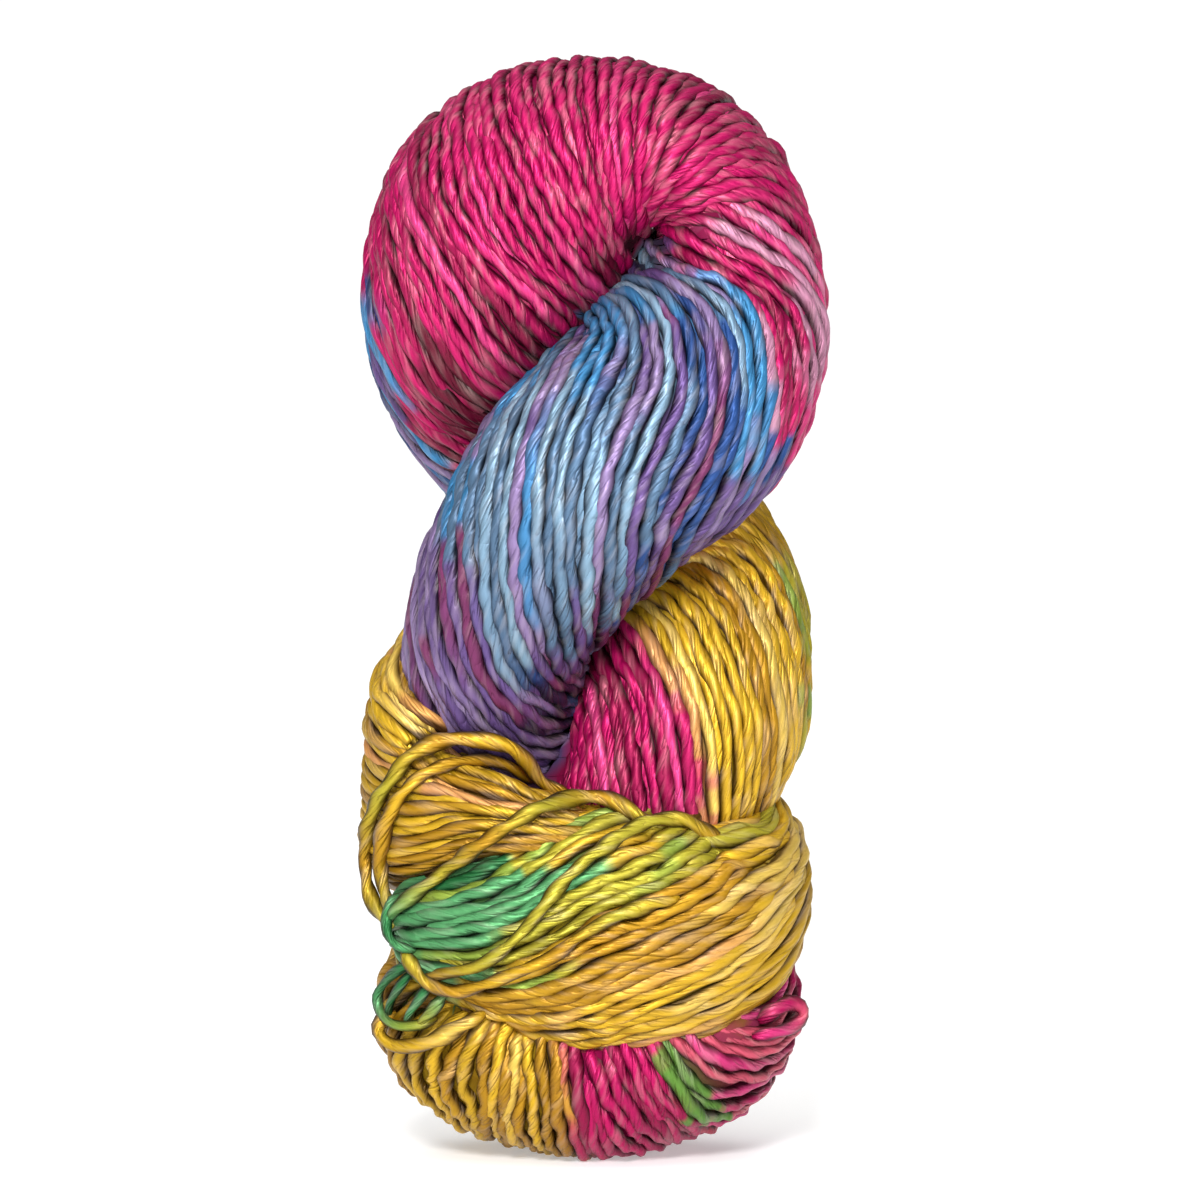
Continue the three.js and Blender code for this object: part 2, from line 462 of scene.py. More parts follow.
def bakeCorners(strands):
    # the corners of all side faces come first and those of the end faces last, as in the mesh
    strips = [strand['marks'] for strand in strands]
    rowHeight = unrolled['rowHeight']
    squareSide = math.sqrt(sum(marks[-1] - marks[0] for marks in strips) * rowHeight) * unrolled['spare']
    laid, rowCount = packStrips(strips, squareSide)
    while rowCount * rowHeight > squareSide:
        squareSide *= unrolled['grow']
        laid, rowCount = packStrips(strips, squareSide)
    sides = yarn['sides']
    turn = 2 * math.pi * np.arange(sides) / sides
    cap = np.stack([np.cos(turn), np.sin(turn)], axis=-1) * unrolled['capRadius'] * rowHeight / squareSide
    edges = unrolled['inset'] + (1 - 2 * unrolled['inset']) * np.arange(sides + 1) / sides
    sideFaces, endFaces = [], []
    for spots in laid:
        left = spots[:, 1] / squareSide
        right = left + spots[:, 2] / squareSide
        heights = (spots[:, 0:1] + edges) * rowHeight / squareSide
        corners = np.empty((len(spots), sides, 4, 2))
        corners[..., :2, 0] = left[:, None, None]
        corners[..., 2:, 0] = right[:, None, None]
        corners[..., 0, 1] = corners[..., 3, 1] = heights[:, :-1]
        corners[..., 1, 1] = corners[..., 2, 1] = heights[:, 1:]
        sideFaces.append(corners.reshape(-1, 2))
        for spot, across in ((0, left[0]), (-1, right[-1])):
            endFaces.append(cap + (across, (spots[spot, 0] + 0.5) * rowHeight / squareSide))
    return np.concatenate(sideFaces + endFaces)


def addToScene(name, data):
    added = bpy.data.objects.new(name, data)
    bpy.context.scene.collection.objects.link(added)
    return added


# the colours go to the 'dye' attribute, and they hold the dye together with painted shade
def addDyeAndShade(mesh, colours):
    rgba = np.concatenate([colours, np.ones((len(colours), 1))], axis=1)
    mesh.attributes.new('dye', 'FLOAT_COLOR', 'POINT').data.foreach_set('color', rgba.ravel())


def meshFromStrands(name, strands, material):
    # each strand is a tube of rings of faces, closed by a face at either end
    sides = yarn['sides']
    around = np.arange(sides)
    after = (around + 1) % sides
    quads, ends = [], []
    first = 0
    for strand in strands:
        count = len(strand['rings'])
        here = first + np.arange(count - 1)[:, None] * sides
        there = here + sides
        faces = np.stack([here + around, here + after, there + after, there + around], axis=-1)
        quads.append(faces.reshape(-1, 4))
        ends += [first + around[::-1], first + (count - 1) * sides + around]
        first += count * sides
    quads, ends = np.concatenate(quads), np.stack(ends)
    mesh = bpy.data.meshes.new(name)
    mesh.vertices.add(first)
    mesh.vertices.foreach_set('co', np.concatenate([strand['rings'].ravel() for strand in strands]) * mm)
    mesh.loops.add(quads.size + ends.size)
    mesh.loops.foreach_set('vertex_index', np.concatenate([quads.ravel(), ends.ravel()]))
    starts = np.concatenate([np.arange(len(quads)) * 4, quads.size + np.arange(len(ends)) * sides])
    mesh.polygons.add(len(starts))
    mesh.polygons.foreach_set('loop_start', starts)
    mesh.update(calc_edges=True)
    mesh.polygons.foreach_set('use_smooth', np.ones(len(starts), bool))
    mesh.uv_layers.new(name='OFBake').data.foreach_set('uv', bakeCorners(strands).ravel())
    addDyeAndShade(mesh, np.concatenate([strand['colour'].reshape(-1, 3) for strand in strands]))
    fibre = mesh.attributes.new('fibre', 'FLOAT_VECTOR', 'POINT')
    fibre.data.foreach_set('vector', np.concatenate([strand['fibre'].ravel() for strand in strands]))
    mesh.validate()
    mesh.materials.append(material)
    print(name, len(quads) * 2 + len(ends) * (sides - 2), 'triangles')
    return addToScene(name, mesh)


def dyeMarks(wound, bundle, strand):
    # a strand keeps its colour over each half turn, so dye is read nearer to where it crosses the middle
    marks = wound['marks']
    angles = wound['angles'][:, strand] - math.radians(bundle['dyeSide'])
    crossing = np.round(angles / math.pi) * math.pi
    off = angles - crossing
    wanted = crossing + off * (1 - bundle['dyeRun'] * np.cos(off) ** 2)
    way = np.sign(angles[-1] - angles[0])
    climbing = np.maximum.accumulate(way * angles + 1e-6 * marks)
    found = np.interp(way * wanted, climbing, marks)
    return marks + np.clip(found - marks, -bundle['dyeReach'], bundle['dyeReach'])


def swayed(marks, strandPick, height, length, start):
    return height * np.sin(marks / length + strandPick * start)


def strandsOfBundle(wound, bundle, chosen):
    made = []
    random = wound['random']
    marks = wound['marks']
    for k in chosen:
        strandPick = random.uniform(0, 1)
        slide = random.normal(0, bundle['dyeSlide'])
        strength = random.uniform(*dyeing['strengths'])
        read = dyeMarks(wound, bundle, k) + slide + swayed(marks, strandPick, *dyeing['readSway'])
        spots = np.clip(np.searchsorted(marks, read), 0, len(marks) - 1)
        # a pick that sways past 0 or 1 turns back there
        pick = 1 - np.abs(1 - (strandPick + swayed(marks, strandPick, *dyeing['mixSway'])) % 2)
        colour = dyeAndShadeColours(wound['centres'][spots, k], wound['places'][spots], bundle['dye'], pick)
        colour *= strength
        for a, b in runsOf(wound, k):
            made.append(strandPiece(wound['centres'][a:b, k], wound['outwards'][a:b, k],
                                    wound['side'][a:b, k], marks[a:b], colour[a:b], random))
    return made


# Bundles: x, y, z, half width beside the face, half width through it, lay of the strands in degrees

plied = {
    'strands': 53,
    'pieces': 4,           # the bundle is cut in so many, to keep each one light
    'crowding': 1.22,      # how much closer than side by side the strands are pushed
    'seed': 11,
    'facing': (0, -1, 0),
    'sideWander': [(60, 0.32), (23, 0.16)],
    'riseWander': [(48, 0.3), (19, 0.16)],
    'dyeSlide': 3,         # how unevenly the dye of neighbours ends
    'dyeRun': 0.65,        # how far a half turn keeps one colour
    'dyeSide': 0,          # degrees from the face to the side that sets the colour
    'dyeReach': 30,        # the farthest along a strand that its dye is read
    'rows': [
        (-8, -3, 32, 17, 17, -10),
        (3, -7, 54, 21, 19, -14),
        (12.5, -7, 76, 22.5, 21, -34),
        (20.5, -1, 99, 26, 25, -40),
        (19, 15, 122, 25, 25, -44),
        (0, 21, 145, 25, 25, -45),
        (-17, 14, 166, 26.5, 25, -45),
        (-24, 2, 184, 27, 26, -56),
        (-17.5, -2, 203.5, 30.2, 26, -72),
        (-3, -2, 216.5, 25.5, 25.5, -84),
        (15, -2, 219, 18.5, 24.5, -82),
        (27, -2, 207, 18, 24, -68),
        (27, -5, 186, 24, 24.5, -50),
        (18, -16, 167, 28, 26, -45),
        (-1.5, -21, 149, 26.5, 27, -45),
        (-15, -18, 130, 23, 24, -45),
        (-22, -9, 111, 20.5, 21, -45),
        (-21, 6, 90, 20, 20, -45),
        (-9, 14, 68, 20, 20, -45),
        (2, 12, 46, 20, 19, -45),
        (6, 6, 30, 17, 17, -45),
    ],
    # place in the rows, x, y, z, reach, mix
    'dye': [
        # the arch, with painted shade along its crease
        (8, -35, -10, 200, 20, 'dome'), (8, -28, -25, 178, 12, 'dome'), (8, -12, -26, 200, 12, 'dome'),
        (9, -10, -20, 228, 26, 'dome'), (9, 0, -26, 214, 12, 'dome'), (10, 18, -20, 226, 22, 'dome'),
        (10.5, 34, -14, 222, 14, 'dome'), (9, 0, 24, 222, 30, 'dome'), (8, -30, 20, 205, 22, 'dome'),
        (10.6, 30, 18, 214, 20, 'dome'), (6.8, -34, -14, 167, 6, 'dome'), (6.3, -26, -8, 156, 6, 'dome'),
        (6.4, -22, -9, 158, 8, 'paintedCreaseShade'), (6.7, -21, -15, 165, 8, 'paintedCreaseShade'),
        (7.1, -20, -20, 178, 8, 'paintedCreaseShade'), (7.5, -13, -21, 187, 8, 'paintedCreaseShade'),
        (7.9, -7, -21, 194, 8, 'paintedCreaseShade'), (8.6, 0, -21, 203, 7, 'paintedCreaseShade'),
        (9.3, 6, -20, 206, 6, 'paintedCreaseShade'),
        # the blue edge at the left and the turns behind
        (7, -49, -5, 178, 8, 'edge'), (6.6, -44, -1, 163, 8, 'edge'), (6.2, -40, 6, 155, 9, 'edge'),
        (5.8, -34, 13, 147, 8, 'edge'), (7, -42, 16, 172, 16, 'edge'), (6, -20, 38, 168, 22, 'edge'),
        (5.4, 0, 44, 150, 18, 'purples'), (5, 16, 42, 132, 16, 'grey'), (12.4, 40, 12, 172, 18, 'blush'),
        # right of the crease, magenta and pale
        (10.6, 23, -24, 213, 8, 'dome'), (10.8, 27, -22, 213, 6, 'dome'), (11.2, 41, -16, 210, 6, 'dome'),
        (11.1, 28, -24, 207, 5, 'pale'), (11.2, 33, -23, 205, 6, 'pale'), (11.5, 40, -22, 198, 6, 'pale'),
        (11.9, 44, -20, 190, 6, 'pale'), (12.1, 45, -18, 183, 6, 'pale'),
        (12.7, 45, -12, 161, 9, 'blush'), (11.5, 24, -25, 201, 5, 'dome'),
        (11.6, 28, -25, 199, 5, 'dome'), (11.9, 31, -24, 194, 5, 'dome'), (12.2, 38, -24, 190, 5, 'dome'),
        (12.4, 43, -23, 179, 5, 'blush'), (12.4, 37, -27, 184, 3.5, 'pale'),
        # the blue turns in front
        (11.8, 13, -18, 195, 6, 'violet'), (12.4, 24, -29, 191, 5, 'violet'),
        (12.5, 28, -31, 187, 5, 'sky'), (12.7, 30, -33, 183, 6, 'sky'), (12.7, 35, -32, 178, 5, 'sky'),
        (12.9, 39, -30, 165, 6, 'sky'), (13.2, 3, -33, 181, 9, 'sky'), (13.8, -8, -39, 168, 8, 'sky'),
        (13.7, 5, -45, 163, 7, 'violet'), (13.3, 17, -42, 165, 8, 'violet'),
        (12.9, 27, -38, 173, 7, 'purples'), (13.1, 29, -37, 159, 8, 'purples'),
        (13.1, 35, -29, 151, 7, 'purples'), (13.5, 14, -44, 157, 7, 'greyDeep'),
        (13.8, 3, -46, 154, 7, 'greyDeep'), (14.2, -9, -46, 150, 9, 'light'),
        (14.2, -21, -36, 156, 8, 'grey'), (14.9, -31, -32, 138, 8, 'light'),
        (13.9, 11, -42, 141, 8, 'purples'), (14.2, -1, -46, 143, 8, 'grey'),
        (14.7, -15, -42, 132, 9, 'light'), (14.7, -8, -42, 129, 8, 'plumGrey'),
        (15.3, -37, -21, 131, 9, 'violet'), (15.4, -27, -34, 118, 8, 'plumGrey'),
        (15.2, -18, -38, 120, 8, 'grey'), (15.9, -39, -18, 113, 9, 'violet'),
        (16, -28, -25, 103, 8, 'plumGrey'), (15.3, -9, -33, 114, 7, 'plum'),
        (15.7, -21, -30, 107, 8, 'plum'), (16.2, -25, -20, 96, 9, 'violet'),
        # painted shade in a hollow
        (15.2, -3, -30, 112, 5, 'paintedHollowShade'), (15.6, -10, -30, 106, 5, 'paintedHollowShade'), (16.1, -14, -25, 98, 6, 'paintedHollowShade'),
        (16, -34, 12, 112, 18, 'purples'), (17, -30, 20, 90, 22, 'purples'),
        (18.5, -8, 30, 62, 26, 'limeEdge'),
        # below them, magenta and yellow
        (3.7, 40, -18, 124, 10, 'gold'), (3.6, 30, -26, 114, 10, 'gold'), (3.2, 34, -22, 102, 11, 'gold'),
        (3.6, 45, -8, 112, 9, 'gold'), (2.5, 38, -20, 84, 12, 'gold'), (3.1, 26, -19, 113, 8, 'gold'),
        (3.9, 24, -3, 131, 10, 'gold'), (2.9, 29, -22, 104, 8, 'gold'), (2.2, 32, -24, 76, 10, 'gold'),
        (3.8, 43, 6, 128, 6, 'limeEdge'), (3.5, 47, 4, 114, 6, 'limeEdge'), (3, 46, -5, 98, 5, 'limeEdge'),
        (4.4, 38, 30, 120, 18, 'oliveGold'), (3, 36, 24, 90, 20, 'gold'),
        (2.8, 18, -24, 102, 3, 'peach'), (2.7, 21, -25, 98, 3, 'peach'), (2.5, 23, -27, 88, 3, 'peach'),
        # painted shade along a crease
        (2.9, 3, -16, 106, 6, 'paintedCreaseShade'), (2.7, 5, -20, 100, 8, 'dome'), (2.4, 11, -25, 91, 8, 'dome'),
        (2, -4, -18, 83, 8, 'dome'), (2.4, 16, -27, 87, 7, 'dome'), (2.2, 14, -30, 78, 8, 'dome'),
        (2, 4, -30, 76, 9, 'dome'),
    ],
}

endLoop = {
    'strands': 47,
    'pieces': 1,
    'crowding': 1.22,
    'seed': 23,
    'facing': (0, 0, 1),
    'sideWander': [(45, 0.4), (19, 0.2)],
    'riseWander': [(38, 0.4), (15, 0.2)],
    'dyeSlide': 5,
    'dyeRun': 0.6,
    'dyeSide': 90,
    'dyeReach': 30,
    'rows': [
        (-44.5, -14, 49.5, 2.5, 4, 0),
        (-41, -17, 50.5, 6, 10.5, -2),
        (-31, -22, 51, 10, 16, -8),
        (-17, -24, 51, 14, 22, -20),
        (0, -24, 52, 16.5, 27.5, -25),
        (14, -22, 52.5, 17, 27, -26),
        (26, -17, 55.5, 16.5, 25, -22),
        (32, -11, 62, 15, 18.5, -8),
        (33, -3, 70, 12, 10.5, -6),
        (29, 9, 75, 10, 9.5, -10),
        (24, 19, 81, 11, 15, -20),
        (10, 26, 88, 13, 20, -25),
        (-12, 24, 96, 13, 22, -25),
        (-32, 12, 95, 11, 23, -20),
        (-40.2, -3, 83.5, 10.5, 25, -14),
        (-37, -13, 76.5, 12, 20, -8),
        (-24, -21, 76, 12, 11, -6),
        (-10, -23, 74.5, 11, 7, -4),
        (4, -20, 73, 9, 5, -2),
    ],
    'dye': [
        (0.5, -43, -16, 51, 12, 'teal'), (2, -33, -30, 50, 9, 'teal'), (2.5, -27, -34, 51, 7, 'teal'),
        (2.2, -30, -30, 43, 8, 'teal'), (2.8, -20, -35, 53, 7, 'tealLime'),
        (2.6, -22, -34, 58, 7, 'tealLime'), (3.2, -14, -37, 47, 6, 'tealLime'),
        (3.2, -14, -33, 67, 9, 'oliveGold'), (3.9, -2, -34, 72, 9, 'oliveGold'),
        (3.4, -9, -38, 56, 8, 'oliveGold'), (4.1, 3, -36, 68, 8, 'oliveGreen'),
        (4.8, 14, -37, 64, 8, 'oliveGold'), (5.6, 30, -30, 70, 8, 'oliveGold'),
        (4.5, 10, -39, 50, 9, 'leafGold'), (4.6, 11, -38, 55, 8, 'leafGold'),
        (5.2, 22, -35, 56, 9, 'leafGold'), (6.2, 36, -28, 59, 9, 'straw'),
        (3.1, -14, -30, 33, 8, 'leafGold'), (4.5, 9, -33, 32, 9, 'goldPeach'),
        (5.8, 34, -23, 36, 9, 'goldPeach'), (5, 32, -26, 42, 12, 'goldPeach'),
        (8.1, 42, 1, 67, 10, 'gold'), (8.2, 40, 24, 84, 20, 'gold'), (10.4, 0, 40, 90, 24, 'oliveGold'),
        (11.6, -24, 30, 98, 18, 'goldPeach'), (13, -46, 0, 98, 16, 'gold'),
        (13.8, -45, -13, 103, 8, 'straw'), (13.4, -44, -14, 84, 12, 'goldPeach'),
        (14.2, -38, -26, 74, 12, 'goldPeach'), (14, -42, -20, 66, 10, 'gold'),
        (15, -20, -36, 80, 12, 'gold'), (16.3, -20, -23, 84, 8, 'gold'),
        # painted shade in a hollow
        (17, -11, -31, 75, 8, 'shadeGold'),
    ],
}

foldedEnd = {
    'strands': 15,
    'pieces': 1,
    'crowding': 1.3,
    'seed': 37,
    'facing': (0, -1, 0),
    'sideWander': [(50, 0.5), (21, 0.25)],
    'riseWander': [(40, 0.4), (17, 0.2)],
    'dyeSlide': 0.5,
    'dyeRun': 0.95,
    'dyeSide': 0,
    'dyeReach': 40,
    'rows': [
        (-10, 0, 62, 14, 18, 70),
        (-18, -1, 49, 14, 20, 74),
        (-27, -2, 35.5, 20.5, 24, 78),
        (-23.5, -3, 28, 22.5, 26, 80),
        (-13, -3, 23.5, 22.5, 28, 80),
        (0, -3, 21.5, 23, 29, 80),
        (11.5, -3, 24, 22.5, 28, 80),
        (21.5, -3, 28.5, 22, 26, 80),
        (25, -2, 37, 19.5, 24, 78),
        (18, -1, 49, 13.5, 20, 74),
        (10, 0, 62, 14, 18, 70),
    ],
    'dye': [
        (2.2, -37, -22, 37, 12, 'gold'), (2.5, -37, -21, 28, 12, 'gold'), (3.2, -24, -27, 24, 9, 'gold'),
        (4, -14, -28, 19, 8, 'gold'), (4.3, -9, -30, 20, 4, 'goldPeach'), (3, -26, 18, 16, 22, 'gold'),
        (4.8, -2, -28, 21, 8, 'dome'), (5.4, 5, -30, 18, 9, 'dome'), (6.1, 12, -29.5, 26, 4, 'dome'),
        (6.2, 13, -28.5, 18, 4, 'dome'), (6.3, 17, -22, 9, 5, 'dome'), (6.5, 17, -28, 28, 3.4, 'fern'),
        (6.5, 17, -28, 22, 3.4, 'fern'), (6.5, 19, -26.5, 16, 3.4, 'fern'),
        (6.6, 23, -21, 11, 3.6, 'fern'), (6.8, 21.5, -28, 28, 4, 'salmon'),
        (6.8, 22.5, -27, 21, 4, 'salmon'), (6.9, 27, -23, 15, 5, 'salmon'),
        (6.9, 32, -8, 10, 8, 'salmon'), (7.4, 38, -18, 25, 8, 'salmon'), (7.8, 44, -7, 34, 8, 'dome'),
        (5.6, 10, 24, 12, 20, 'dome'), (8, 36, 14, 26, 18, 'salmon'), (9.4, 36, 0, 48, 16, 'salmon'),
        (0.6, -34, 0, 52, 16, 'gold'),
    ],
}


# Silk

class Socket:
    # one output, so that shader maths reads as a plain expression
    def __init__(self, shader, output):
        self.shader = shader
        self.output = output

    def maths(self, operation, first, second):
        return self.shader.node('ShaderNodeMath', {'operation': operation}, {0: first, 1: second})

    def __add__(self, other):
        return self.maths('ADD', self, other)

    def __radd__(self, other):
        return self.maths('ADD', other, self)

    def __sub__(self, other):
        return self.maths('SUBTRACT', self, other)

    def __rsub__(self, other):
        return self.maths('SUBTRACT', other, self)

    def __mul__(self, other):
        return self.maths('MULTIPLY', self, other)

    def __rmul__(self, other):
        return self.maths('MULTIPLY', other, self)

    def __pow__(self, other):
        return self.maths('POWER', self, other)


class Shader:
    def __init__(self, name):
        self.material = bpy.data.materials.new(name)
        self.material.use_nodes = True
        self.tree = self.material.node_tree
        self.surface = self.tree.nodes['Principled BSDF']

    def node(self, kind, settings=None, values=None, output=0):
        made = self.tree.nodes.new(kind)
        for key, setting in (settings or {}).items():
            if key == 'stops':
                ramp = made.color_ramp
                while len(ramp.elements) < len(setting):
                    ramp.elements.new(0.5)
                for element, (place, level) in zip(ramp.elements, setting):
                    element.position = place
                    element.color = (level, level, level, 1)
            else:
                setattr(made, key, setting)
        self.fill(made, values or {})
        return Socket(self, made.outputs[output])

    def fill(self, made, values):
        for key, value in values.items():
            if isinstance(value, Socket):
                self.tree.links.new(value.output, made.inputs[key])
            else:
                made.inputs[key].default_value = value

    def mixed(self, factor, a, b, blend='MIX'):
        settings = {'data_type': 'RGBA', 'blend_type': blend, 'clamp_factor': True}
        return self.node('ShaderNodeMix', settings, {0: factor, 6: a, 7: b}, 2)

    def scaled(self, vector, factors):
        return self.node('ShaderNodeVectorMath', {'operation': 'MULTIPLY'}, {0: vector, 1: factors})


silkLook = {
    # noise along and across the fibres, in waves for each millimetre
    'rolls': (0.15, 0.8, 0.8),
    'rollBreaks': (0.23, 0.6, 0.6),
    'wrinkles': (0.3, 1.7, 1.7),
    'wrinkleBreaks': (0.4, 0.9, 0.9),
    'swell': (0.12, 0.45, 0.45),
    'hairs': (0.3, 3.2, 3.2),
    # how much each of them lifts the silk, as shares of the bump's distance in metres
    'bump': {'rolls': 0.62, 'wrinkles': 0.17, 'swell': 0.9, 'hairs': 0.03},
    'bumpDistance': 0.00048,
    'slope': 4.0,          # how fast a crease rises to the roll beside it
    'roundness': 0.6,
    # stops of the ramps, each with its lightness
    'breakStops': [(0.4, 0.0), (0.6, 1.0)],
    'creaseStops': [(0.0, 0.0), (0.16, 0.45), (0.42, 1.0)],
    'tickStops': [(0.0, 0.0), (0.25, 1.0)],
    'glossStops': [(0.5, 0.0), (0.68, 1.0)],
    # painted shade: the creases darken the dye with this colour and these depths
    'creaseShade': (0.42, 0.31, 0.36, 1.0),   # the dye is multiplied by this in a crease
    'creaseDepth': (0.55, 0.2),             # by the rolls and by the wrinkles
    # painted highlight: on the swells the dye is mixed towards this tint
    'highlightTint': (1.0, 0.85, 0.75, 1.0),
    'lighten': 0.14,
    'lightShare': 0.5,
    'roughness': 0.4,
    'hairRoughness': 0.1,
    'metallic': 0.45,
    'specular': 0.32,
}


def silkMaterial():
    silk = Shader('dyed silk')
    # the 'dye' attribute holds the dye with painted shade already in it
    dye = silk.node('ShaderNodeAttribute', {'attribute_name': 'dye'})
    fibre = silk.node('ShaderNodeAttribute', {'attribute_name': 'fibre'}, output=1)

    def noise(look, detail=0.0):
        return silk.node('ShaderNodeTexNoise', {'noise_dimensions': '3D'}, {
            'Vector': silk.scaled(fibre, silkLook[look]), 'Scale': 1.0, 'Detail': detail, 'Roughness': 0.5})

    def ramp(value, stops):
        return silk.node('ShaderNodeValToRGB', {'stops': silkLook[stops]}, {0: value})

    def valleys(field):
        # sharp creases with rounded rolls between them
        away = silk.node('ShaderNodeMath', {'operation': 'ABSOLUTE'}, {0: field - 0.5})
        return (away * silkLook['slope']) ** silkLook['roundness']

    def broken(creases, breaks):
        # each crease is only a short tick, with smooth silk round it
        return 1.0 - (1.0 - creases) * ramp(breaks, 'breakStops')

    rolls = broken(valleys(noise('rolls')), noise('rollBreaks'))
    wrinkles = broken(valleys(noise('wrinkles')), noise('wrinkleBreaks'))
    swell = noise('swell', 1.0)
    hairs = noise('hairs', 1.0)
    bump = silkLook['bump']
    height = rolls * bump['rolls'] + wrinkles * bump['wrinkles']
    height += swell * bump['swell'] + hairs * bump['hairs']
    # painted shade in the creases of the rolls and the wrinkles
    crease = ramp(rolls, 'creaseStops')
    ticks = ramp(wrinkles, 'tickStops')
    # painted highlight on the swells of the silk
    gloss = ramp(swell, 'glossStops')
    darker = silk.mixed(1.0, dye, silkLook['creaseShade'], 'MULTIPLY')
    lighter = silk.mixed(silkLook['lighten'], dye, silkLook['highlightTint'])
    byRolls, byWrinkles = silkLook['creaseDepth']
    depth = 1 - byRolls - byWrinkles + byRolls * crease + byWrinkles * ticks
    colour = silk.mixed(gloss * silkLook['lightShare'], silk.mixed(depth, darker, dye), lighter)
    silk.fill(silk.surface, {
        'Base Color': colour,
        'Roughness': silkLook['roughness'] + silkLook['hairRoughness'] * hairs,
        'Metallic': silkLook['metallic'],
        'Normal': silk.node('ShaderNodeBump', None, {
            'Strength': 1.0, 'Distance': silkLook['bumpDistance'], 'Height': height}),
        'Specular IOR Level': silkLook['specular'],
    })
    return silk.material


def coreMaterial():
    core = Shader('inner turns')
    # the 'dye' attribute holds the strands' dye, darkened as painted shade
    dye = core.node('ShaderNodeAttribute', {'attribute_name': 'dye'})
    core.fill(core.surface, {'Base Color': dye, 'Roughness': 0.9, 'Specular IOR Level': 0.1})
    return core.material


silk = silkMaterial()
made = []
allStrands = []
for name, bundle in (('plied_turns', plied), ('loop_turns', endLoop), ('fold_turns', foldedEnd)):
    wound = windStrands(bundle)
    count, parts = bundle['strands'], bundle['pieces']
    for part in range(parts):
        chosen = range(part * count // parts, (part + 1) * count // parts)
        pieceName = name if parts == 1 else f'{name}_{part + 1}'
        strands = strandsOfBundle(wound, bundle, chosen)
        allStrands += strands
        made.append(meshFromStrands(pieceName, strands, silk))
    print('wound', name)


# Loose strands, laid on the solid along lines of the photo

draping = {
    'samplesPerRow': 30,
    'before': 150.0,       # how far in front of the twist's axis the lines of sight start
    'nearRings': 2,        # a strand lies on the highest of the rings near it
    'smoothRings': 3,
    'seed': 5,
}


def drapedStrand(strand, random):
    # each row is x and height in the photo's plane, and lift over the surface
    rows = np.array(strand['rows'], float)
    fine = rowsAt(rows, np.linspace(0, len(rows) - 1, len(rows) * draping['samplesPerRow']))
    run = np.concatenate([[0], np.cumsum(np.linalg.norm(np.diff(fine[:, :2], axis=0), axis=1))])
    marks = np.arange(0, run[-1], yarn['step'])
    x, height, lift = [np.interp(marks, run, column) for column in fine.T]
    centres = np.stack([x + twistAxis[0], np.full(len(marks), twistAxis[1]), height], axis=1)
    depths = np.full(len(marks), np.nan)
    for i, centre in enumerate(centres):
        start = Vector(centre) * mm - sight * draping['before'] * mm
        spot = solidTree.ray_cast(start, sight)[0]
        if spot is not None:
            depths[i] = (spot - start).dot(sight) / mm
    met = np.flatnonzero(~np.isnan(depths))
    depths = np.interp(np.arange(len(marks)), met, depths[met])
    near = draping['nearRings']
    nearest = np.array([depths[max(0, i - near):i + near + 1].min() for i in range(len(marks))])
    depths = smoothed(nearest[:, None], draping['smoothRings'])[:, 0] - lift
    look = np.array(sight)
    centres += (depths - draping['before'])[:, None] * look
    heading = unit(np.gradient(centres, axis=0))
    outwards = unit(squareTo(heading, -look))
    names = strand['dye']
    share = np.linspace(0, len(names) - 1, len(marks))
    colours = np.array([linearColour(dyesAndShades[name]) for name in names])
    colour = np.stack([np.interp(share, range(len(names)), column) for column in colours.T], axis=1)
    return strandPiece(centres, outwards, np.cross(heading, outwards), marks, colour, random, strand['scale'])


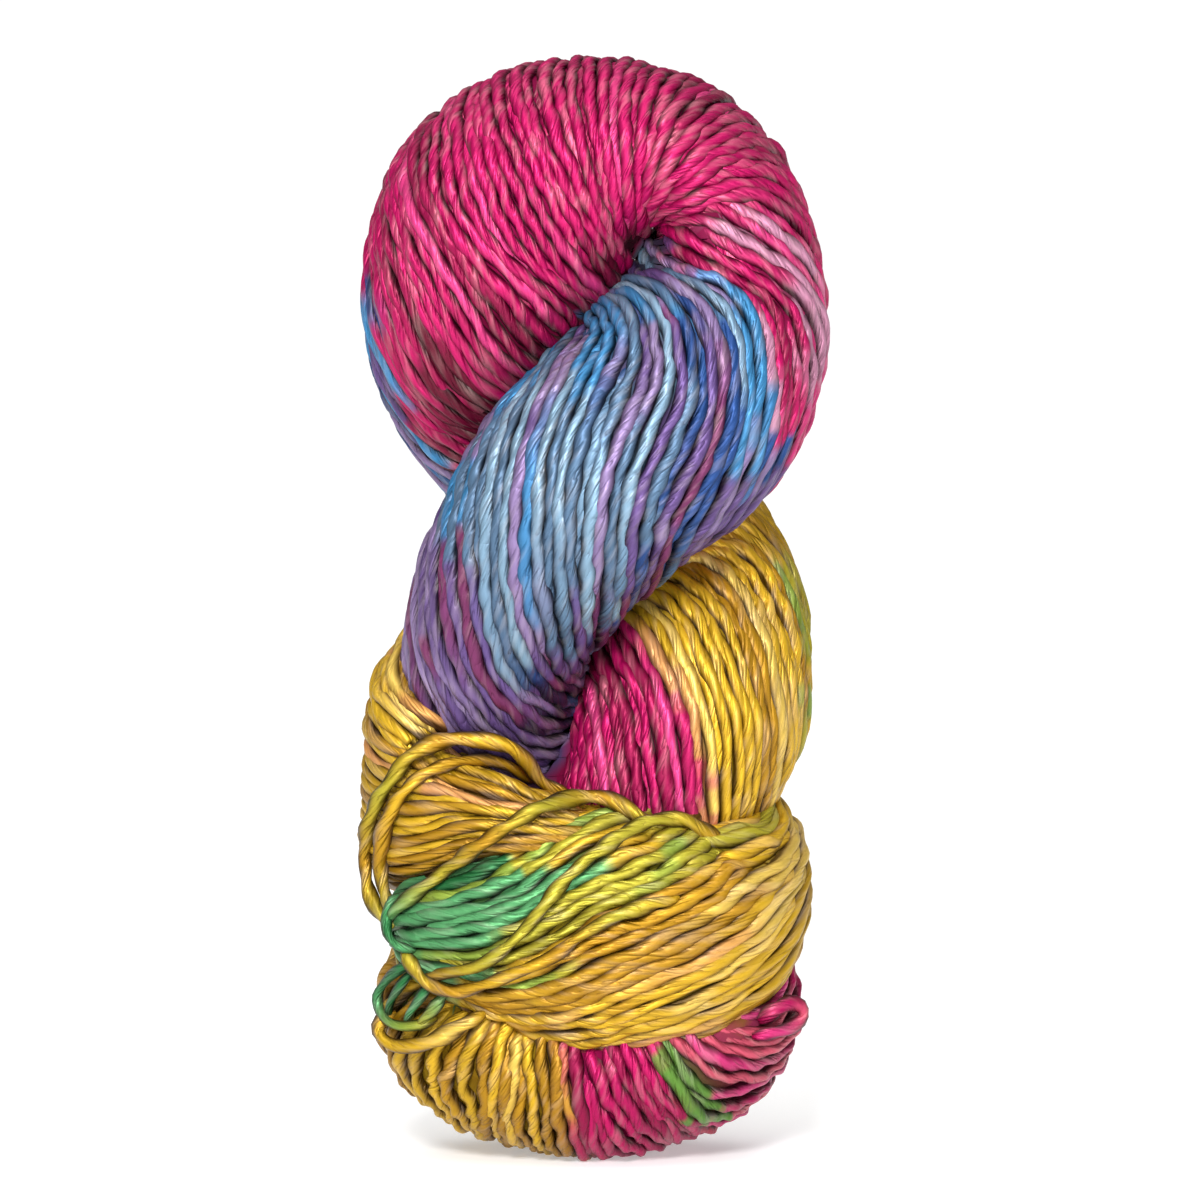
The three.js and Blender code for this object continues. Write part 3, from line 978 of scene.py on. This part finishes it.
looseStrands = [
    # over the end loop's top
    {'scale': 0.98, 'dye': ['olive', 'gold', 'olive', 'gold', 'yellow', 'gold'], 'rows': [
        (-44, 50, 0.5), (-48.4, 55, 1.2), (-50.2, 62, 1.2), (-50, 70, 1.4), (-47.6, 77.6, 1.8),
        (-44, 83, 2.2), (-40.6, 87.3, 2.2), (-36.3, 89.9, 2.4), (-30.4, 91.4, 3), (-24.5, 91, 3.4),
        (-18.8, 89.6, 3.4), (-15.2, 86.6, 3), (-12.6, 82.6, 2), (-8.7, 80, 0.4), (-5, 78.5, -1.5)]},
    {'scale': 0.98, 'dye': ['teal', 'olive', 'gold', 'olive', 'gold', 'olive'], 'rows': [
        (-45, 51.5, -0.5), (-43, 54.6, 0.8), (-37.4, 59, 1.5), (-30.4, 64.4, 1.6), (-24.5, 68.8, 1.8),
        (-17.3, 73.6, 1.8), (-11.4, 76.8, 1.8), (-3.7, 78.6, 1.8), (2, 78.6, 1.6), (6, 76.6, 1.4),
        (10, 74, 0.4), (14, 71.5, -1.5)]},
    {'scale': 0.96, 'dye': ['gold', 'olive', 'olive', 'olive', 'olive', 'gold'], 'rows': [
        (-38, 39, -3.2), (-34, 40, -1.4), (-29.9, 40.9, 1), (-25.4, 42.2, 1.6), (-20.8, 45, 1.6),
        (-16.2, 49.4, 1.6), (-12.5, 53.6, 1.6), (-8.7, 58.6, 1.6), (-3.7, 63.8, 1.6), (2, 68.2, 1.6),
        (7.9, 72, 1.6), (13.6, 74, 1.6), (19.5, 73.6, 1.2), (24, 71, -1), (27, 69, -3.5)]},
    {'scale': 1.0, 'dye': ['olive', 'gold', 'yellow', 'gold', 'olive', 'yellow'], 'rows': [
        (-41.6, 45.6, -1), (-40.6, 43, 1), (-38.7, 40.2, 1.6), (-36.3, 38, 1.7), (-33, 36.6, 1.7),
        (-29.5, 36.5, 1.7), (-25.4, 37.6, 1.5), (-20.8, 39.3, 1.4), (-14.6, 41.8, 1.4), (-8.1, 45, 1.4),
        (-3.7, 48.6, 1.2), (4.2, 53, 0.8), (12, 55.6, 0), (18, 57, -1.5)]},
    {'scale': 0.95, 'dye': ['olive', 'gold', 'yellow', 'gold', 'gold'], 'rows': [
        (-42.5, 52, -0.5), (-45.6, 56.6, 0.4), (-46.9, 63, 0.4), (-46.4, 70, 0.6), (-44, 76.4, 1),
        (-40, 81.6, 1.2), (-35.5, 84.6, 1.2), (-29.5, 86.4, 1.2), (-23.5, 86.6, 1), (-17.5, 84.6, 0),
        (-13, 81, -1.5)]},
    # round the pinched end of the loop
    {'scale': 0.82, 'dye': ['teal', 'green', 'teal'], 'rows': [
        (-42, 57, -1.5), (-44.4, 56, 1.2), (-45.4, 53.6, 1.6), (-45.5, 51, 1.6), (-45.2, 48.6, 1.6),
        (-43.6, 46.6, 1.6), (-41.2, 45.6, 1), (-38.5, 45, -1.5)]},
    # the hollow loops beside the fold
    {'scale': 0.8, 'dye': ['green', 'green', 'teal', 'lime', 'olive'], 'rows': [
        (-38.5, 42.6, -1), (-42, 41.4, 1.4), (-45.6, 38.4, 2.4), (-47.6, 34.9, 2.6), (-47.2, 31.4, 2.6),
        (-45.3, 29.3, 2.6), (-42.2, 28.5, 2.4), (-38, 28.9, 1.4), (-34.5, 30.2, -1)]},
    {'scale': 0.62, 'dye': ['green', 'green'], 'rows': [
        (-40, 40.4, -0.5), (-42.4, 37.6, 1.2), (-44.6, 34, 1.4), (-45.2, 31.4, 1.2), (-44.6, 29, 0)]},
    {'scale': 0.7, 'dye': ['green', 'teal'], 'rows': [
        (-35.5, 38.4, -0.5), (-37.4, 36, 1), (-39.4, 33, 1.4), (-40.8, 30.6, 1.2), (-41.4, 28.6, 0)]},
    {'scale': 0.75, 'dye': ['teal', 'olive'], 'rows': [
        (-32.4, 36, -0.5), (-34, 34, 1), (-36, 31.6, 1.4), (-37.8, 29.6, 1), (-39, 28, -0.5)]},
    # the fold's first turns come out a little at its ends
    {'scale': 1.15, 'dye': ['gold', 'yellow', 'yellow', 'straw', 'yellow'], 'rows': [
        (-43.5, 31, 0), (-47, 29, 1.2), (-47.2, 26.4, 1.6), (-44, 24.2, 1.8), (-38.5, 24.4, 1.7),
        (-33, 26.6, 1.6), (-27.5, 29.7, 1), (-23, 32, -1.5)]},
    {'scale': 1.0, 'dye': ['deepMagenta', 'magenta', 'salmon', 'hotPink', 'magenta'], 'rows': [
        (35.5, 29.6, -1), (38.5, 31.6, 1), (41.8, 33.4, 1.8), (44.4, 32.6, 2), (45.2, 30.4, 2),
        (43.2, 28.4, 2), (39.8, 27.2, 1.8), (36.4, 26.6, 1.2), (33, 26, -1)]},
]
looseRandom = np.random.default_rng(draping['seed'])
loose = [drapedStrand(strand, looseRandom) for strand in looseStrands]
allStrands += loose
made.append(meshFromStrands('loose_turns', loose, silk))
print('draped the loose strands')


# The inner turns, painted dark as shade

innerTurns = {
    'depth': 2.0,          # how far they lie under the solid's faces
    # painted shade: the share of the nearest strand's dye that the inner turns keep
    'darkness': 0.4,
    'eye': (9.3, 199),     # x and height of the crease's open end
    'eyeDepth': 0.7,       # they come nearer there, so that no light shows through
    'eyeReach': 2.5,
    'eyeFade': 3,
    # painted shade, deeper round the crease's open end
    'pitReach': 6,         # and they are darker round it
    'pitDarkness': 0.3,
}


def innerCore(strands):
    # a body under the strands that takes their dye, darkened as painted shade, so that no light shows between
    # them
    mesh = skeinSolid.data.copy()
    mesh.name = 'inner_core'
    places = np.empty(len(mesh.vertices) * 3)
    normals = np.empty(len(mesh.vertices) * 3)
    mesh.vertices.foreach_get('co', places)
    mesh.vertices.foreach_get('normal', normals)
    places = places.reshape(-1, 3)
    eyeX, eyeHeight = innerTurns['eye']
    fromEye = np.hypot(places[:, 0] / mm - eyeX, places[:, 2] / mm - eyeHeight)
    away = smoothStep((fromEye - innerTurns['eyeReach']) / innerTurns['eyeFade'])
    depth = innerTurns['eyeDepth'] + (innerTurns['depth'] - innerTurns['eyeDepth']) * away
    places = places - normals.reshape(-1, 3) * depth[:, None] * mm
    mesh.vertices.foreach_set('co', places.ravel())
    centres = np.concatenate([strand['centres'] for strand in strands])
    colours = np.concatenate([strand['plain'] for strand in strands]) * innerTurns['darkness']
    nearest = KDTree(len(centres))
    for i, centre in enumerate(centres):
        nearest.insert(centre * mm, i)
    nearest.balance()
    colour = np.array([colours[nearest.find(place)[1]] for place in places])
    colour[fromEye <= innerTurns['pitReach']] *= innerTurns['pitDarkness']
    addDyeAndShade(mesh, colour)
    mesh.materials.clear()
    mesh.materials.append(coreMaterial())
    return addToScene('inner_core', mesh)


made.append(innerCore(allStrands))

for piece in made:
    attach(piece, "root")
    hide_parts("skein")
print('pieces made')


# Studio

# metres and watts, unless a line says otherwise
studio = {
    'floorSize': 40.0,
    'white': (0.72, 0.72, 0.72, 1),
    'glow': 0.5,           # the paper's own light, which keeps it as white as in the photo
    'surroundings': 0.2,   # light from all round
    'backdrop': 1.05,      # what the camera sees above the paper
    'lit': (0, 0, 0.12),   # where the lights point
    'softBoxes': [
        {'name': 'key', 'place': (-0.12, -0.95, 0.6), 'size': (0.26, 0.26), 'power': 14},
        {'name': 'fill', 'place': (0.3, -1.05, 0.16), 'size': (0.5, 0.4), 'power': 4},
    ],
    'window': {'direction': (0.03, 0.02, -1), 'strength': 2.4, 'softness': 75},
    'distance': 2.4,
    'target': (1.22, 1.0, 121.6),   # millimetres
    'sensor': 36,          # millimetres of the camera's own chip
}

floorMesh = bpy.data.meshes.new('floor')
half = studio['floorSize'] / 2
floorCorners = [(-half, -half, 0), (half, -half, 0), (half, half, 0), (-half, half, 0)]
floorMesh.from_pydata(floorCorners, [], [(0, 1, 2, 3)])
floor = addToScene('floor', floorMesh)
paper = Shader('white paper')
paper.fill(paper.surface, {'Base Color': studio['white'], 'Roughness': 0.9, 'Specular IOR Level': 0.1,
                           'Emission Color': studio['white'], 'Emission Strength': studio['glow']})
floorMesh.materials.append(paper.material)

# the world is bright where the camera sees it, and softer as a light
world = bpy.data.worlds.new('soft studio')
bpy.context.scene.world = world
world.use_nodes = True
backdrop = world.node_tree.nodes['Background']
backdrop.inputs['Color'].default_value = (1, 1, 1, 1)
seen = world.node_tree.nodes.new('ShaderNodeLightPath')
level = world.node_tree.nodes.new('ShaderNodeMapRange')
level.inputs['To Min'].default_value = studio['surroundings']
level.inputs['To Max'].default_value = studio['backdrop']
world.node_tree.links.new(seen.outputs['Is Camera Ray'], level.inputs['Value'])
world.node_tree.links.new(level.outputs['Result'], backdrop.inputs['Strength'])

for box in studio['softBoxes']:
    data = bpy.data.lights.new(box['name'], 'AREA')
    data.shape = 'RECTANGLE'
    data.size, data.size_y = box['size']
    data.energy = box['power']
    light = addToScene(box['name'], data)
    light.location = box['place']
    light.rotation_euler = (Vector(studio['lit']) - light.location).to_track_quat('-Z', 'Y').to_euler()

sunLight = bpy.data.lights.new('window', 'SUN')
sunLight.energy = studio['window']['strength']
sunLight.angle = math.radians(studio['window']['softness'])
window = addToScene('window', sunLight)
window.rotation_euler = Vector(studio['window']['direction']).to_track_quat('-Z', 'Y').to_euler()

lens = bpy.data.cameras.new('camera')
camera = addToScene('camera', lens)
camera.location = Vector(studio['target']) * mm - sight * studio['distance']
camera.rotation_euler = sight.to_track_quat('-Z', 'Y').to_euler()
lens.sensor_width = studio['sensor']
lens.lens = studio['sensor'] * studio['distance'] / (photo['pixels'] * photo['pixel'] * mm)
bpy.context.scene.camera = camera
bpy.context.scene.view_settings.view_transform = 'Standard'
print('studio set')
